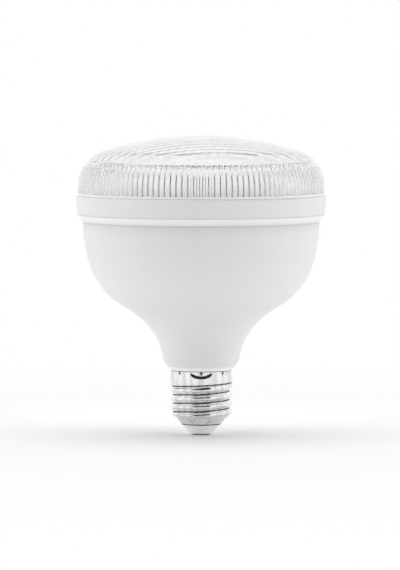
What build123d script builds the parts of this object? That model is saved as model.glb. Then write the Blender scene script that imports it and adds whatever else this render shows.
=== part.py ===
from build123d import *
import os
from math import cos, hypot, pi, radians, sin, sqrt

# An LED lamp with a wide torch head: a clear prismatic cover on a white bowl that narrows to a
# neck and an E27 screw cap. Z is the lamp's axis, and the origin is the middle of the tip
# contact's outer face, so the light leaves towards +Z. Sizes are in millimetres.

# Room between pieces that fit together, and between pieces that are pressed together
FIT = 0.15
PRESS_ROOM = 0.03

# Screw shell
THREAD_RADIUS = 13.2
THREAD_DEPTH = 1.1
THREAD_PITCH = 3.63
THREAD_CREST_SHARE = 0.29
THREAD_CREST_ANGLE = 55.0
SHELL_LENGTH = 23.35
SHELL_SHEET = 0.4
BAND_HEIGHT = 6.1
FLARE_HEIGHT = 1.0
LIP_TURN = 3.9
LIP_HEIGHT = 4.3
DENT_COUNT = 8
DENT_BALL_RADIUS = 1.2
DENT_DEPTH = 0.25
DENT_DROP = 1.3

# Tip contact and insulator
CONTACT_RADIUS = 3.8
CONTACT_THICKNESS = 0.6
CONTACT_ROUND = 0.3
SHANK_RADIUS = 1.2
INSULATOR_MARGIN = 1.1
INSULATOR_CONE_HEIGHT = 3.5
INSULATOR_STEP = 0.35
INSULATOR_THROAT_HEIGHT = 0.25
INSULATOR_INNER_HEIGHT = 6.15

# Housing, from the neck up to the collar
NECK_PROUD = 3.0
NECK_LIP_PROUD = 0.25
NECK_LIP_HEIGHT = 4.3
NECK_ROUND = 4.0
NECK_LEAN = 8.4
NECK_FULLNESS = 0.47
WAIST_SPREAD = 17.5
WAIST_DROP = 35.5
WAIST_SLOPE = 60.0
WAIST_FULLNESS_BELOW = 0.515
WAIST_FULLNESS_ABOVE = 0.365
BELLY_FULLNESS = 0.465
BODY_RADIUS = 50.3
BODY_HEIGHT = 63.1
BEVEL_HEIGHT = 3.6
BEVEL_WIDTH = 2.4
BEVEL_ROUND = 1.0
COLLAR_HEIGHT = 7.7
COLLAR_FLARE = 0.65
COLLAR_WALL = 1.8
RIM_ROUND = 0.6
HOUSING_WALL = 2.0
SPIGOT_WALL = 1.6
SPIGOT_GAP = 2.4
RAIL_DEPTH = 1.7
RAIL_WIDTH = 1.2
RAIL_STOP = 1.5

# Clear cover
COVER_SETBACK = 0.95
COVER_HEIGHT = 25.5
COVER_WALL = 2.0
FOOT_ROUND = 0.35
DOME_RADIUS = 138.5
SHOULDER_RADIUS = 15.5
SKIRT_WALL = 1.9
SKIRT_GAP = 0.1
SNAP_BEAD = 0.4
SNAP_DROP = 2.0
RIB_COUNT = 128
RIB_DEPTH = 0.8
RIB_FLOOR = 0.2
RIB_BASE = 1.0
RIB_END_ANGLE = 42.0
RIB_BENDS = 3

# Light engine
SPREADER_THICKNESS = 2.0
SPREADER_INSET = 4.3
SPREADER_DEPTH = 20.0
SPREADER_RIM = 1.8
SPREADER_HOLE_RADIUS = 7.0
LED_BOARD_THICKNESS = 1.6
LED_BOARD_MARGIN = 0.6
LED_BOARD_HOLE_RADIUS = 6.0
LED_LENGTH = 3.5
LED_WIDTH = 2.8
LED_HEIGHT = 0.8
LED_EDGE_MARGIN = 11.2
LED_RING_PITCH = 12.5
LED_SPACING = 10.0
LED_CLEAR_RADIUS = 12.0
SCREW_COUNT = 3
SCREW_RADIUS = 1.45
SCREW_LENGTH = 6.0
SCREW_HEAD_RADIUS = 2.75
SCREW_HEAD_HEIGHT = 1.7
SCREW_HEAD_ROUND = 0.8
SCREW_RECESS_LENGTH = 3.3
SCREW_RECESS_WIDTH = 0.7
SCREW_RECESS_DEPTH = 0.9

# Driver board and what stands on it
DRIVER_THICKNESS = 1.6
DRIVER_WIDTH = 34.0
DRIVER_BLADE_LENGTH = 34.0
DRIVER_HEADROOM = 7.4
BULK_CAPACITOR_RADIUS = 8.0
BULK_CAPACITOR_LENGTH = 25.0
BULK_CAPACITOR_PLACE = (8.4, 12.0)
OUTPUT_CAPACITOR_RADIUS = 5.0
OUTPUT_CAPACITOR_LENGTH = 16.0
OUTPUT_CAPACITOR_PLACE = (-9.5, 7.0)
CAN_GROOVE_DEPTH = 0.5
CAN_GROOVE_RISE = 2.4
CAN_ROUND = 0.8
CORE_WIDTH = 18.0
CORE_DEPTH = 6.0
CORE_HEIGHT = 14.0
CORE_LIMB = 2.4
CORE_MIDDLE_LIMB = 4.6
WINDING_ROUND = 1.5
TRANSFORMER_PLACE = (-7.5, 24.5)
FILTER_LENGTH = 12.0
FILTER_WIDTH = 6.0
FILTER_HEIGHT = 11.5
FILTER_ROUND = 0.5
FILTER_PLACE = (10.0, 27.5)
CHOKE_RADIUS = 5.0
CHOKE_HEIGHT = 10.0
CHOKE_FLANGE = 1.3
CHOKE_WAIST = 0.7
CHOKE_PLACE = (-9.0, 10.0)
BRIDGE_SIZE = (6.8, 4.7, 2.3)
BRIDGE_LEG_PITCH = 5.1
BRIDGE_LEG_WIDTH = 0.7
BRIDGE_PLACE = (7.5, 27.0)
CHIP_SIZE = (4.9, 3.9, 1.5)
CHIP_LEG_COUNT = 4
CHIP_LEG_PITCH = 1.27
CHIP_LEG_WIDTH = 0.42
CHIP_PLACE = (2.0, 17.0)
DIODE_SIZE = (3.6, 4.4, 2.3)
DIODE_LEG_WIDTH = 2.0
DIODE_PLACE = (10.0, 8.0)
LEG_FOOT = 0.9
LEG_SHEET = 0.25
PACKAGE_STANDOFF = 0.1
PACKAGE_TAPER = 4.0
VARISTOR_RADIUS = 4.5
VARISTOR_THICKNESS = 3.6
VARISTOR_FOOT = 1.4
VARISTOR_RISE = 11.0
FUSE_RADIUS = 2.0
FUSE_LENGTH = 9.0
FUSE_STANDOFF = 1.0
FUSE_LEG_RADIUS = 0.35
FUSE_LEG_REACH = 2.2
FUSE_LEG_BEND = 0.8
FUSE_ROUND = 0.6
FUSE_RISE = 9.0
LEAD_RADIUS = 0.7
LEAD_BEND = 1.6
LEAD_STANDOFF = 3.4
MAINS_LEAD_SPREAD = 4.0
MAINS_LEAD_DROP = 4.6
LINE_LEAD_STEM = 2.2
LED_LEAD_SPREAD = 3.0
LED_LEAD_REACH = 6.0
LED_LEAD_DROP = 3.0
LED_LEAD_LOOP = 2.4

# Levels along the axis
z_step = CONTACT_THICKNESS + INSULATOR_CONE_HEIGHT
z_lip = z_step + INSULATOR_THROAT_HEIGHT
z_insulator = z_lip + INSULATOR_INNER_HEIGHT
z_spigot = z_insulator + SPIGOT_GAP
z_seat = z_lip + SHELL_LENGTH
z_band = z_seat - BAND_HEIGHT
z_neck = z_seat + NECK_LIP_HEIGHT
z_bevel = z_seat + BODY_HEIGHT
z_waist = z_bevel - WAIST_DROP
z_ledge = z_bevel + BEVEL_HEIGHT
z_spreader = z_ledge + SPREADER_THICKNESS
z_led_board = z_spreader + LED_BOARD_THICKNESS
z_skirt = z_led_board + SKIRT_GAP
z_rim = z_ledge + COLLAR_HEIGHT
z_apex = z_rim + COVER_HEIGHT
z_driver_bottom = z_spigot + RAIL_STOP
z_driver_top = z_ledge - DRIVER_HEADROOM

# Radii that fit one another
root_radius = THREAD_RADIUS - THREAD_DEPTH
shell_bore = root_radius - SHELL_SHEET
band_bore = THREAD_RADIUS - SHELL_SHEET
lip_radius = root_radius - LIP_TURN
lip_rise = SHELL_SHEET * hypot(LIP_TURN, LIP_HEIGHT) / LIP_TURN
spigot_radius = shell_bore - FIT
spigot_bore = spigot_radius - SPIGOT_WALL
neck_radius = THREAD_RADIUS + NECK_PROUD
waist_radius = neck_radius + WAIST_SPREAD
collar_foot_radius = BODY_RADIUS + BEVEL_WIDTH
collar_radius = collar_foot_radius + COLLAR_FLARE
collar_bore = collar_foot_radius - COLLAR_WALL
cover_radius = collar_radius - COVER_SETBACK
skirt_radius = collar_bore - FIT
spreader_radius = collar_bore - FIT
led_board_radius = spreader_radius - LED_BOARD_MARGIN
outer_led_radius = led_board_radius - LED_EDGE_MARGIN
screw_circle_radius = outer_led_radius - LED_RING_PITCH / 2
driver_face = DRIVER_THICKNESS / 2


def lip_height_at(radius):
    """How far the turned-in lip's sloping line has risen at a radius."""
    return (radius - lip_radius) / LIP_TURN * LIP_HEIGHT


# Contact nail: a round-edged head below the insulator and a shank through it
with BuildPart() as tip_contact:
    with BuildSketch(Plane.XZ) as nail_outline:
        with BuildLine():
            Polyline(
                (0, 0),
                (CONTACT_RADIUS, 0),
                (CONTACT_RADIUS, CONTACT_THICKNESS),
                (SHANK_RADIUS, CONTACT_THICKNESS),
                (SHANK_RADIUS, z_insulator),
                (0, z_insulator),
                close=True,
            )
        make_face()
        fillet(nail_outline.vertices().sort_by_distance((CONTACT_RADIUS, 0))[0], CONTACT_ROUND)
    revolve(axis=Axis.Z)
tip_contact.part.label = "tip_contact"

# Insulator: a cone below the shell's lip, stepped back from it, and a plug inside the shell
with BuildPart() as base_insulator:
    tip_radius = CONTACT_RADIUS + INSULATOR_MARGIN
    throat_radius = lip_radius - FIT
    plug_radius = shell_bore - FIT
    nail_bore = SHANK_RADIUS + PRESS_ROOM
    with BuildSketch(Plane.XZ):
        with BuildLine():
            Polyline(
                (nail_bore, CONTACT_THICKNESS),
                (tip_radius, CONTACT_THICKNESS),
                (throat_radius - INSULATOR_STEP, z_step),
                (throat_radius, z_step),
                (throat_radius, z_lip + lip_rise),
                (plug_radius, z_lip + lip_rise + lip_height_at(plug_radius + FIT)),
                (plug_radius, z_insulator),
                (nail_bore, z_insulator),
                close=True,
            )
        make_face()
    revolve(axis=Axis.Z)
base_insulator.part.label = "base_insulator"

# Screw shell: a rolled round-crested rib on a thin sheet tube, plain at the top, turned in below
with BuildPart() as screw_shell:
    crest_round = THREAD_CREST_SHARE * THREAD_PITCH
    crest_angle = radians(THREAD_CREST_ANGLE)
    crest_middle = THREAD_DEPTH - PRESS_ROOM - crest_round
    flank_top = crest_middle + crest_round * cos(crest_angle)
    flank_half = crest_round * sin(crest_angle)
    rib_sink = SHELL_SHEET / 2
    foot_half = flank_half + (flank_top + rib_sink) * cos(crest_angle) / sin(crest_angle)
    helix_start = z_lip + LIP_HEIGHT - THREAD_PITCH / 2
    helix_height = z_band + THREAD_PITCH / 2 - helix_start
    with BuildLine() as helix:
        Helix(THREAD_PITCH, helix_height, root_radius, center=(0, 0, helix_start))
    with BuildSketch(Plane(origin=helix.line @ 0, x_dir=(1, 0, 0), z_dir=helix.line % 0)):
        with BuildLine():
            Line((flank_top, -flank_half), (-rib_sink, -foot_half))
            Line((-rib_sink, -foot_half), (-rib_sink, foot_half))
            Line((-rib_sink, foot_half), (flank_top, flank_half))
            ThreePointArc(
                (flank_top, flank_half), (crest_middle + crest_round, 0), (flank_top, -flank_half)
            )
        make_face()
    sweep(path=helix.line, is_frenet=True)
    # The rib runs out inside the lip's sloping sheet below and the flare's sheet above
    clear_radius = THREAD_RADIUS + THREAD_DEPTH
    flare_slope = FLARE_HEIGHT / THREAD_DEPTH
    flare_foot = z_band - FLARE_HEIGHT
    with BuildSketch(Plane.XZ):
        with BuildLine():
            Polyline(
                (lip_radius, z_lip + lip_rise / 2),
                (clear_radius, z_lip + lip_rise / 2 + lip_height_at(clear_radius)),
                (clear_radius, flare_foot + flare_slope * (clear_radius - root_radius + SHELL_SHEET / 2)),
                (root_radius - SHELL_SHEET / 2, flare_foot),
                (lip_radius, flare_foot),
                close=True,
            )
        make_face()
    revolve(axis=Axis.Z, mode=Mode.INTERSECT)
    with BuildSketch(Plane.XZ):
        with BuildLine():
            Polyline(
                (lip_radius, z_lip),
                (root_radius, z_lip + LIP_HEIGHT),
                (root_radius, flare_foot),
                (THREAD_RADIUS, z_band),
                (THREAD_RADIUS, z_seat),
                (band_bore, z_seat),
                (band_bore, z_band),
                (shell_bore, flare_foot),
                (shell_bore, z_lip + lip_rise + lip_height_at(shell_bore)),
                (lip_radius, z_lip + lip_rise),
                close=True,
            )
        make_face()
    revolve(axis=Axis.Z)
    with Locations((0, 0, z_seat - DENT_DROP)):
        with PolarLocations(THREAD_RADIUS + DENT_BALL_RADIUS - DENT_DEPTH, DENT_COUNT, start_angle=-90):
            Sphere(DENT_BALL_RADIUS, mode=Mode.SUBTRACT)
screw_shell.part.label = "screw_shell"


def body_side(inset):
    """The two curves of the body's side as control points, moved inwards by inset."""
    slope = Vector(sin(radians(WAIST_SLOPE)), cos(radians(WAIST_SLOPE)))
    lean = Vector(sin(radians(NECK_LEAN)), cos(radians(NECK_LEAN)))
    top = Vector(BODY_RADIUS - inset, z_bevel)
    waist = Vector(waist_radius, z_waist) + Vector(-slope.Y, slope.X) * inset
    neck = Vector(neck_radius, z_neck) + Vector(-lean.Y, lean.X) * inset
    belly_span = z_bevel - z_waist
    neck_span = z_waist - z_neck
    belly = (
        top,
        top - Vector(0, BELLY_FULLNESS * belly_span),
        waist + slope * (WAIST_FULLNESS_ABOVE * belly_span),
        waist,
    )
    throat = (
        waist,
        waist - slope * (WAIST_FULLNESS_BELOW * neck_span),
        neck + lean * (NECK_FULLNESS * neck_span),
        neck,
    )
    return belly, throat


# Housing: bowl, neck, collar and spigot as one moulding of nearly even wall
with BuildPart() as housing:
    outer_belly, outer_throat = body_side(0)
    inner_belly, inner_throat = body_side(HOUSING_WALL)
    lip_edge = (THREAD_RADIUS + NECK_LIP_PROUD, z_seat)
    spigot_band_radius = band_bore - FIT
    inner_neck = inner_throat[-1]
    inner_top = (BODY_RADIUS - HOUSING_WALL, z_bevel)
    with BuildSketch(Plane.XZ) as moulding:
        with BuildLine():
            Polyline(
                inner_top,
                (BODY_RADIUS - HOUSING_WALL, z_ledge),
                (collar_bore, z_ledge),
                (collar_bore, z_rim),
                (collar_radius, z_rim),
                (collar_foot_radius, z_ledge),
                (BODY_RADIUS, z_bevel),
            )
            Bezier(*outer_belly)
            Bezier(*outer_throat)
            Polyline(
                outer_throat[-1],
                lip_edge,
                (spigot_band_radius, z_seat),
                (spigot_band_radius, z_band),
                (spigot_radius, z_band - FLARE_HEIGHT),
                (spigot_radius, z_spigot),
                (spigot_bore, z_spigot),
                (spigot_bore, z_seat),
                inner_neck,
            )
            Bezier(*reversed(inner_throat))
            Bezier(*reversed(inner_belly))
        make_face()
        fillet(moulding.vertices().sort_by_distance((collar_radius, z_rim))[0], RIM_ROUND)
        fillet(moulding.vertices().sort_by_distance((collar_foot_radius, z_ledge))[0], RIM_ROUND)
    revolve(axis=Axis.Z)
    for radius, height, size in ((BODY_RADIUS, z_bevel, BEVEL_ROUND), (neck_radius, z_neck, NECK_ROUND)):
        rings = housing.edges().filter_by(GeomType.CIRCLE)
        fillet(rings.sort_by_distance((radius, 0, height))[0], size)
    # Groove that the cover's bead snaps into
    with BuildSketch(Plane.XZ):
        with Locations((collar_bore, z_rim - SNAP_DROP)):
            Circle(SNAP_BEAD + FIT)
    revolve(axis=Axis.Z, mode=Mode.SUBTRACT)
    # Slotted rails inside the spigot, closed below, that hold the driver board's tongue
    tongue_width = 2 * (spigot_bore - 2 * FIT)
    slot_width = DRIVER_THICKNESS + 2 * FIT
    with BuildSketch(Plane.XY.offset(z_spigot)):
        Circle((spigot_bore + spigot_radius) / 2)
        Rectangle(2 * (spigot_bore - RAIL_DEPTH), 2 * spigot_radius, mode=Mode.SUBTRACT)
        Rectangle(2 * spigot_radius, slot_width + 2 * RAIL_WIDTH, mode=Mode.INTERSECT)
    extrude(amount=z_seat - z_spigot)
    with BuildSketch(Plane.XY.offset(z_driver_bottom)):
        Rectangle(tongue_width + FIT, slot_width)
    extrude(amount=z_seat - z_driver_bottom, mode=Mode.SUBTRACT)
housing.part.label = "housing"

dome_middle = z_apex - DOME_RADIUS


def dome_section(inset, floor):
    """Half section under the dome's surface, moved inwards by inset and cut off below the floor."""
    wall = cover_radius - inset
    dome = DOME_RADIUS - inset
    edge = dome_middle + sqrt(dome**2 - wall**2)
    half = dome_middle + sqrt(dome**2 - (wall / 2) ** 2)
    with BuildSketch(Plane.XZ) as section:
        with BuildLine():
            ThreePointArc((0, z_apex - inset), (wall / 2, half), (wall, edge))
            Polyline((wall, edge), (wall, z_skirt), (0, z_skirt), (0, z_apex - inset))
        make_face()
        fillet(section.vertices().sort_by_distance((wall, edge))[0], SHOULDER_RADIUS - inset)
        with Locations((0, floor)):
            Rectangle(2 * cover_radius, floor, align=(Align.CENTER, Align.MAX), mode=Mode.SUBTRACT)
    return section.sketch


# Cover: shallow dome, round shoulder and upright wall, fluted inside, with a snap skirt below
with BuildPart() as prismatic_cover:
    revolve(dome_section(0, z_rim), axis=Axis.Z)
    fillet(prismatic_cover.edges().sort_by(Axis.Z)[0], FOOT_ROUND)
    with BuildSketch(Plane.XY.offset(z_rim)):
        Circle(skirt_radius)
    extrude(amount=z_skirt - z_rim)
    with BuildSketch(Plane.XZ):
        with Locations((skirt_radius, z_rim - SNAP_DROP)):
            Circle(SNAP_BEAD)
    revolve(axis=Axis.Z)
    # Flutes: star-shaped hollows stacked up the wall and round the lower half of the shoulder
    flute_radius = cover_radius - COVER_WALL - RIB_FLOOR
    shoulder_middle_radius = cover_radius - SHOULDER_RADIUS
    shoulder_middle = dome_middle + sqrt((DOME_RADIUS - SHOULDER_RADIUS) ** 2 - shoulder_middle_radius**2)
    turn_radius = flute_radius - shoulder_middle_radius
    rib_foot = z_rim + RIB_BASE
    stations = [(flute_radius, rib_foot)]
    for bend in range(RIB_BENDS + 1):
        angle = radians(RIB_END_ANGLE * bend / RIB_BENDS)
        stations.append(
            (shoulder_middle_radius + turn_radius * cos(angle), shoulder_middle + turn_radius * sin(angle))
        )
    rib_share = 1 - RIB_DEPTH / flute_radius
    for station_radius, level in stations:
        with BuildSketch(Plane.XY.offset(level)):
            with BuildLine():
                Polyline(
                    *(
                        Vector(station_radius * (rib_share if corner % 2 else 1), 0).rotate(
                            Axis.Z, 180 * corner / RIB_COUNT
                        )
                        for corner in range(2 * RIB_COUNT)
                    ),
                    close=True,
                )
            make_face()
    loft(ruled=True, mode=Mode.SUBTRACT)
    # Plain hollow above the ribs' ends
    rib_top = stations[-1][1]
    revolve(dome_section(COVER_WALL, rib_top), axis=Axis.Z, mode=Mode.SUBTRACT)
    with BuildSketch(Plane.XY.offset(z_skirt)):
        Circle(skirt_radius - SKIRT_WALL)
    extrude(amount=rib_foot - z_skirt, mode=Mode.SUBTRACT)
prismatic_cover.part.label = "prismatic_cover"

# Heat spreader: aluminium plate that sits on the housing's ledge, with a rim below it
with BuildPart() as heat_spreader:
    rim_radius = BODY_RADIUS - HOUSING_WALL - SPREADER_INSET
    with BuildSketch(Plane.XY.offset(z_ledge)):
        Circle(spreader_radius)
    extrude(amount=SPREADER_THICKNESS)
    with BuildSketch(Plane.XY.offset(z_ledge)):
        Circle(rim_radius)
        Circle(rim_radius - SPREADER_RIM, mode=Mode.SUBTRACT)
    extrude(amount=-SPREADER_DEPTH)
    with BuildSketch(Plane.XY.offset(z_ledge)):
        Circle(SPREADER_HOLE_RADIUS)
        with PolarLocations(screw_circle_radius, SCREW_COUNT):
            Circle(SCREW_RADIUS + PRESS_ROOM)
    extrude(amount=SPREADER_THICKNESS, mode=Mode.SUBTRACT)
heat_spreader.part.label = "heat_spreader"

# Board that carries the light emitters, on the spreader's face
with BuildPart() as led_board:
    with BuildSketch(Plane.XY.offset(z_spreader)):
        Circle(led_board_radius)
        Circle(LED_BOARD_HOLE_RADIUS, mode=Mode.SUBTRACT)
        with PolarLocations(screw_circle_radius, SCREW_COUNT):
            Circle(SCREW_RADIUS + FIT, mode=Mode.SUBTRACT)
    extrude(amount=LED_BOARD_THICKNESS)
led_board.part.label = "led_board"

# Light emitters in rings, as many in each ring as its length takes at an even spacing
with BuildPart() as led_chips:
    ring_count = int((outer_led_radius - LED_CLEAR_RADIUS) / LED_RING_PITCH) + 1
    with BuildSketch(Plane.XY.offset(z_led_board)):
        for ring in range(ring_count):
            ring_radius = outer_led_radius - ring * LED_RING_PITCH
            with PolarLocations(ring_radius, int(2 * pi * ring_radius / LED_SPACING)):
                Rectangle(LED_WIDTH, LED_LENGTH)
    extrude(amount=LED_HEIGHT)
led_chips.part.label = "led_chips"

# Pan-head screws through the board into the spreader
with BuildPart() as board_screws:
    with BuildSketch(Plane.XY.offset(z_led_board)):
        with PolarLocations(screw_circle_radius, SCREW_COUNT):
            Circle(SCREW_HEAD_RADIUS)
    extrude(amount=SCREW_HEAD_HEIGHT)
    fillet(board_screws.edges().group_by(Axis.Z)[-1], SCREW_HEAD_ROUND)
    with BuildSketch(Plane.XY.offset(z_led_board)):
        with PolarLocations(screw_circle_radius, SCREW_COUNT):
            Circle(SCREW_RADIUS)
    extrude(amount=-SCREW_LENGTH)
    with BuildSketch(Plane.XY.offset(z_led_board + SCREW_HEAD_HEIGHT)):
        with PolarLocations(screw_circle_radius, SCREW_COUNT):
            Rectangle(SCREW_RECESS_LENGTH, SCREW_RECESS_WIDTH)
            Rectangle(SCREW_RECESS_WIDTH, SCREW_RECESS_LENGTH)
    extrude(amount=-SCREW_RECESS_DEPTH, mode=Mode.SUBTRACT)
board_screws.part.label = "board_screws"

# Driver board: a blade in the bowl with a tongue down into the spigot's slots
with BuildPart() as driver_board:
    blade_half = DRIVER_WIDTH / 2
    tongue_half = tongue_width / 2
    blade_foot = z_driver_top - DRIVER_BLADE_LENGTH
    with BuildSketch(Plane.XZ):
        with BuildLine():
            Polyline(
                (0, z_driver_bottom),
                (tongue_half, z_driver_bottom),
                (tongue_half, blade_foot - (blade_half - tongue_half)),
                (blade_half, blade_foot),
                (blade_half, z_driver_top),
                (0, z_driver_top),
            )
            mirror(about=Plane.YZ)
        make_face()
    extrude(amount=DRIVER_THICKNESS / 2, both=True)
driver_board.part.label = "driver_board"


def on_driver(side, place):
    """Plane on the board's front (-1) or back (1) face, at a place across and down from its top."""
    across, drop = place
    spot = (across, side * driver_face, z_driver_top - drop)
    return Plane(origin=spot, x_dir=(1, 0, 0), z_dir=(0, side, 0))


def capacitor_can(mount, radius, length):
    """Round can with a crimped groove near the board and rounded ends."""
    with BuildPart() as can:
        with BuildSketch(mount):
            Circle(radius)
        extrude(amount=length)
        fillet(can.edges().filter_by(GeomType.CIRCLE), CAN_ROUND)
        with BuildSketch(mount.offset(CAN_GROOVE_RISE)):
            Circle(radius + CAN_GROOVE_DEPTH)
            Circle(radius - CAN_GROOVE_DEPTH, mode=Mode.SUBTRACT)
        extrude(amount=CAN_GROOVE_DEPTH, mode=Mode.SUBTRACT)
    return can


bulk_capacitor = capacitor_can(
    on_driver(-1, BULK_CAPACITOR_PLACE), BULK_CAPACITOR_RADIUS, BULK_CAPACITOR_LENGTH
)
bulk_capacitor.part.label = "bulk_capacitor"

output_capacitor = capacitor_can(
    on_driver(-1, OUTPUT_CAPACITOR_PLACE), OUTPUT_CAPACITOR_RADIUS, OUTPUT_CAPACITOR_LENGTH
)
output_capacitor.part.label = "output_capacitor"

# Transformer core: a ferrite frame with a middle limb, standing on the board
with BuildPart() as transformer_core:
    transformer_mount = on_driver(-1, TRANSFORMER_PLACE)
    window_height = CORE_HEIGHT - 2 * CORE_LIMB
    with BuildSketch(transformer_mount):
        Rectangle(CORE_WIDTH, CORE_DEPTH)
    extrude(amount=CORE_HEIGHT)
    window_width = (CORE_WIDTH - 2 * CORE_LIMB - CORE_MIDDLE_LIMB) / 2
    with BuildSketch(transformer_mount.offset(CORE_LIMB)):
        with GridLocations(window_width + CORE_MIDDLE_LIMB, 0, 2, 1):
            Rectangle(window_width, 2 * CORE_DEPTH)
    extrude(amount=window_height, mode=Mode.SUBTRACT)
transformer_core.part.label = "transformer_core"

# Transformer winding: a taped coil round the core's middle limb
with BuildPart() as transformer_winding:
    coil_reach = 2 * (window_width - FIT)
    with BuildSketch(transformer_mount.offset(CORE_LIMB + FIT)):
        RectangleRounded(CORE_MIDDLE_LIMB + coil_reach, CORE_DEPTH + coil_reach, WINDING_ROUND)
        Rectangle(CORE_MIDDLE_LIMB + 2 * FIT, CORE_DEPTH + 2 * FIT, mode=Mode.SUBTRACT)
    extrude(amount=window_height - 2 * FIT)
transformer_winding.part.label = "transformer_winding"

# Filter capacitor: a moulded box flat on the board
with BuildPart() as filter_capacitor:
    filter_mount = on_driver(-1, FILTER_PLACE)
    with BuildSketch(filter_mount):
        RectangleRounded(FILTER_LENGTH, FILTER_WIDTH, FILTER_ROUND)
    extrude(amount=FILTER_HEIGHT)
filter_capacitor.part.label = "filter_capacitor"

# Choke: a wound drum with two flanges
with BuildPart() as choke:
    choke_mount = on_driver(1, CHOKE_PLACE)
    with BuildSketch(choke_mount):
        Circle(CHOKE_RADIUS)
    extrude(amount=CHOKE_HEIGHT)
    with BuildSketch(choke_mount.offset(CHOKE_FLANGE)):
        Circle(CHOKE_RADIUS + CHOKE_WAIST)
        Circle(CHOKE_RADIUS - CHOKE_WAIST, mode=Mode.SUBTRACT)
    extrude(amount=CHOKE_HEIGHT - 2 * CHOKE_FLANGE, mode=Mode.SUBTRACT)
choke.part.label = "choke"


def flat_package(mount, size, leg_count, leg_pitch, leg_width):
    """Moulded package with a row of bent legs along each of its two long sides."""
    length, width, height = size
    with BuildPart() as package:
        with BuildSketch(mount.offset(PACKAGE_STANDOFF)):
            Rectangle(length, width)
        extrude(amount=height, taper=PACKAGE_TAPER)
        with BuildSketch(mount):
            with GridLocations(leg_pitch, width + LEG_FOOT, leg_count, 2):
                Rectangle(leg_width, LEG_FOOT)
        extrude(amount=LEG_SHEET)
        with BuildSketch(mount):
            with GridLocations(leg_pitch, width, leg_count, 2):
                Rectangle(leg_width, LEG_SHEET * 2)
        extrude(amount=height / 2)
    return package


bridge_rectifier = flat_package(
    on_driver(1, BRIDGE_PLACE), BRIDGE_SIZE, 2, BRIDGE_LEG_PITCH, BRIDGE_LEG_WIDTH
)
bridge_rectifier.part.label = "bridge_rectifier"

driver_chip = flat_package(
    on_driver(1, CHIP_PLACE), CHIP_SIZE, CHIP_LEG_COUNT, CHIP_LEG_PITCH, CHIP_LEG_WIDTH
)
driver_chip.part.label = "driver_chip"

output_diode = flat_package(on_driver(1, DIODE_PLACE), DIODE_SIZE, 1, 0, DIODE_LEG_WIDTH)
output_diode.part.label = "output_diode"

# Varistor: a coated disc on a narrow foot, edge on to the tongue's front
with BuildPart() as varistor:
    disc_plane = Plane(
        origin=(0, -driver_face, z_seat + VARISTOR_RISE), x_dir=(0, -1, 0), z_dir=(1, 0, 0)
    )
    disc_middle = VARISTOR_FOOT + VARISTOR_RADIUS
    with BuildSketch(disc_plane):
        with Locations((disc_middle, 0)):
            Circle(VARISTOR_RADIUS)
        Rectangle(disc_middle, VARISTOR_RADIUS, align=(Align.MIN, Align.CENTER))
    extrude(amount=VARISTOR_THICKNESS / 2, both=True)
varistor.part.label = "varistor"

# Fusible resistor: an axial body along the tongue's back on two bent legs
with BuildPart() as fuse_resistor:
    fuse_middle = z_seat + FUSE_RISE
    fuse_axis_y = driver_face + FUSE_STANDOFF + FUSE_RADIUS
    fuse_end = fuse_middle + FUSE_LENGTH / 2
    leg_end = fuse_end + FUSE_LEG_REACH
    with BuildLine() as leg_route:
        FilletPolyline(
            (0, driver_face, leg_end),
            (0, fuse_axis_y, leg_end),
            (0, fuse_axis_y, fuse_middle + FUSE_LENGTH / 4),
            radius=FUSE_LEG_BEND,
        )
    with BuildSketch(Plane(origin=leg_route.line @ 0, z_dir=leg_route.line % 0)):
        Circle(FUSE_LEG_RADIUS)
    sweep(path=leg_route.line)
    mirror(about=Plane.XY.offset(fuse_middle))
    with BuildSketch(Plane(origin=(0, fuse_axis_y, fuse_middle))):
        Circle(FUSE_RADIUS)
    extrude(amount=FUSE_LENGTH / 2, both=True)
    rings = fuse_resistor.edges().filter_by(GeomType.CIRCLE)
    fillet(rings.filter_by(lambda ring: ring.radius == FUSE_RADIUS), FUSE_ROUND)
fuse_resistor.part.label = "fuse_resistor"


def lead(*points):
    """Round insulated wire along straight runs with tangent bends."""
    with BuildPart() as wire:
        with BuildLine() as route:
            FilletPolyline(*points, radius=LEAD_BEND)
        with BuildSketch(Plane(origin=route.line @ 0, z_dir=route.line % 0)):
            Circle(LEAD_RADIUS)
        sweep(path=route.line)
    return wire


lead_line = -driver_face - LEAD_STANDOFF
mains_level = z_seat - MAINS_LEAD_DROP

# Line lead: from the tongue's front down to the contact nail's end
line_lead = lead(
    (-MAINS_LEAD_SPREAD, -driver_face, mains_level),
    (-MAINS_LEAD_SPREAD, lead_line, mains_level),
    (-MAINS_LEAD_SPREAD, lead_line, z_driver_bottom),
    (0, 0, z_insulator + LINE_LEAD_STEM),
    (0, 0, z_insulator),
)
line_lead.part.label = "line_lead"

# Neutral lead: from the tongue's front down below the spigot and out to the shell's inside
neutral_level = z_insulator + SPIGOT_GAP / 2
neutral_reach = (shell_bore - PRESS_ROOM * 2) / hypot(MAINS_LEAD_SPREAD, lead_line)
neutral_lead = lead(
    (MAINS_LEAD_SPREAD, -driver_face, mains_level),
    (MAINS_LEAD_SPREAD, lead_line, mains_level),
    (MAINS_LEAD_SPREAD, lead_line, neutral_level),
    (MAINS_LEAD_SPREAD * neutral_reach, lead_line * neutral_reach, neutral_level),
)
neutral_lead.part.label = "neutral_lead"


def led_lead(side):
    """Lead from the driver board up through the spreader and over onto a pad of the LED board."""
    level = z_driver_top - LED_LEAD_DROP
    near = side * LED_LEAD_SPREAD
    far = side * (LED_LEAD_SPREAD + LED_LEAD_REACH)
    return lead(
        (near, -driver_face, level),
        (near, lead_line, level),
        (near, lead_line, z_led_board + LED_LEAD_LOOP),
        (far, lead_line, z_led_board + LED_LEAD_LOOP),
        (far, lead_line, z_led_board),
    )


led_lead_positive = led_lead(1)
led_lead_positive.part.label = "led_lead_positive"

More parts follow.
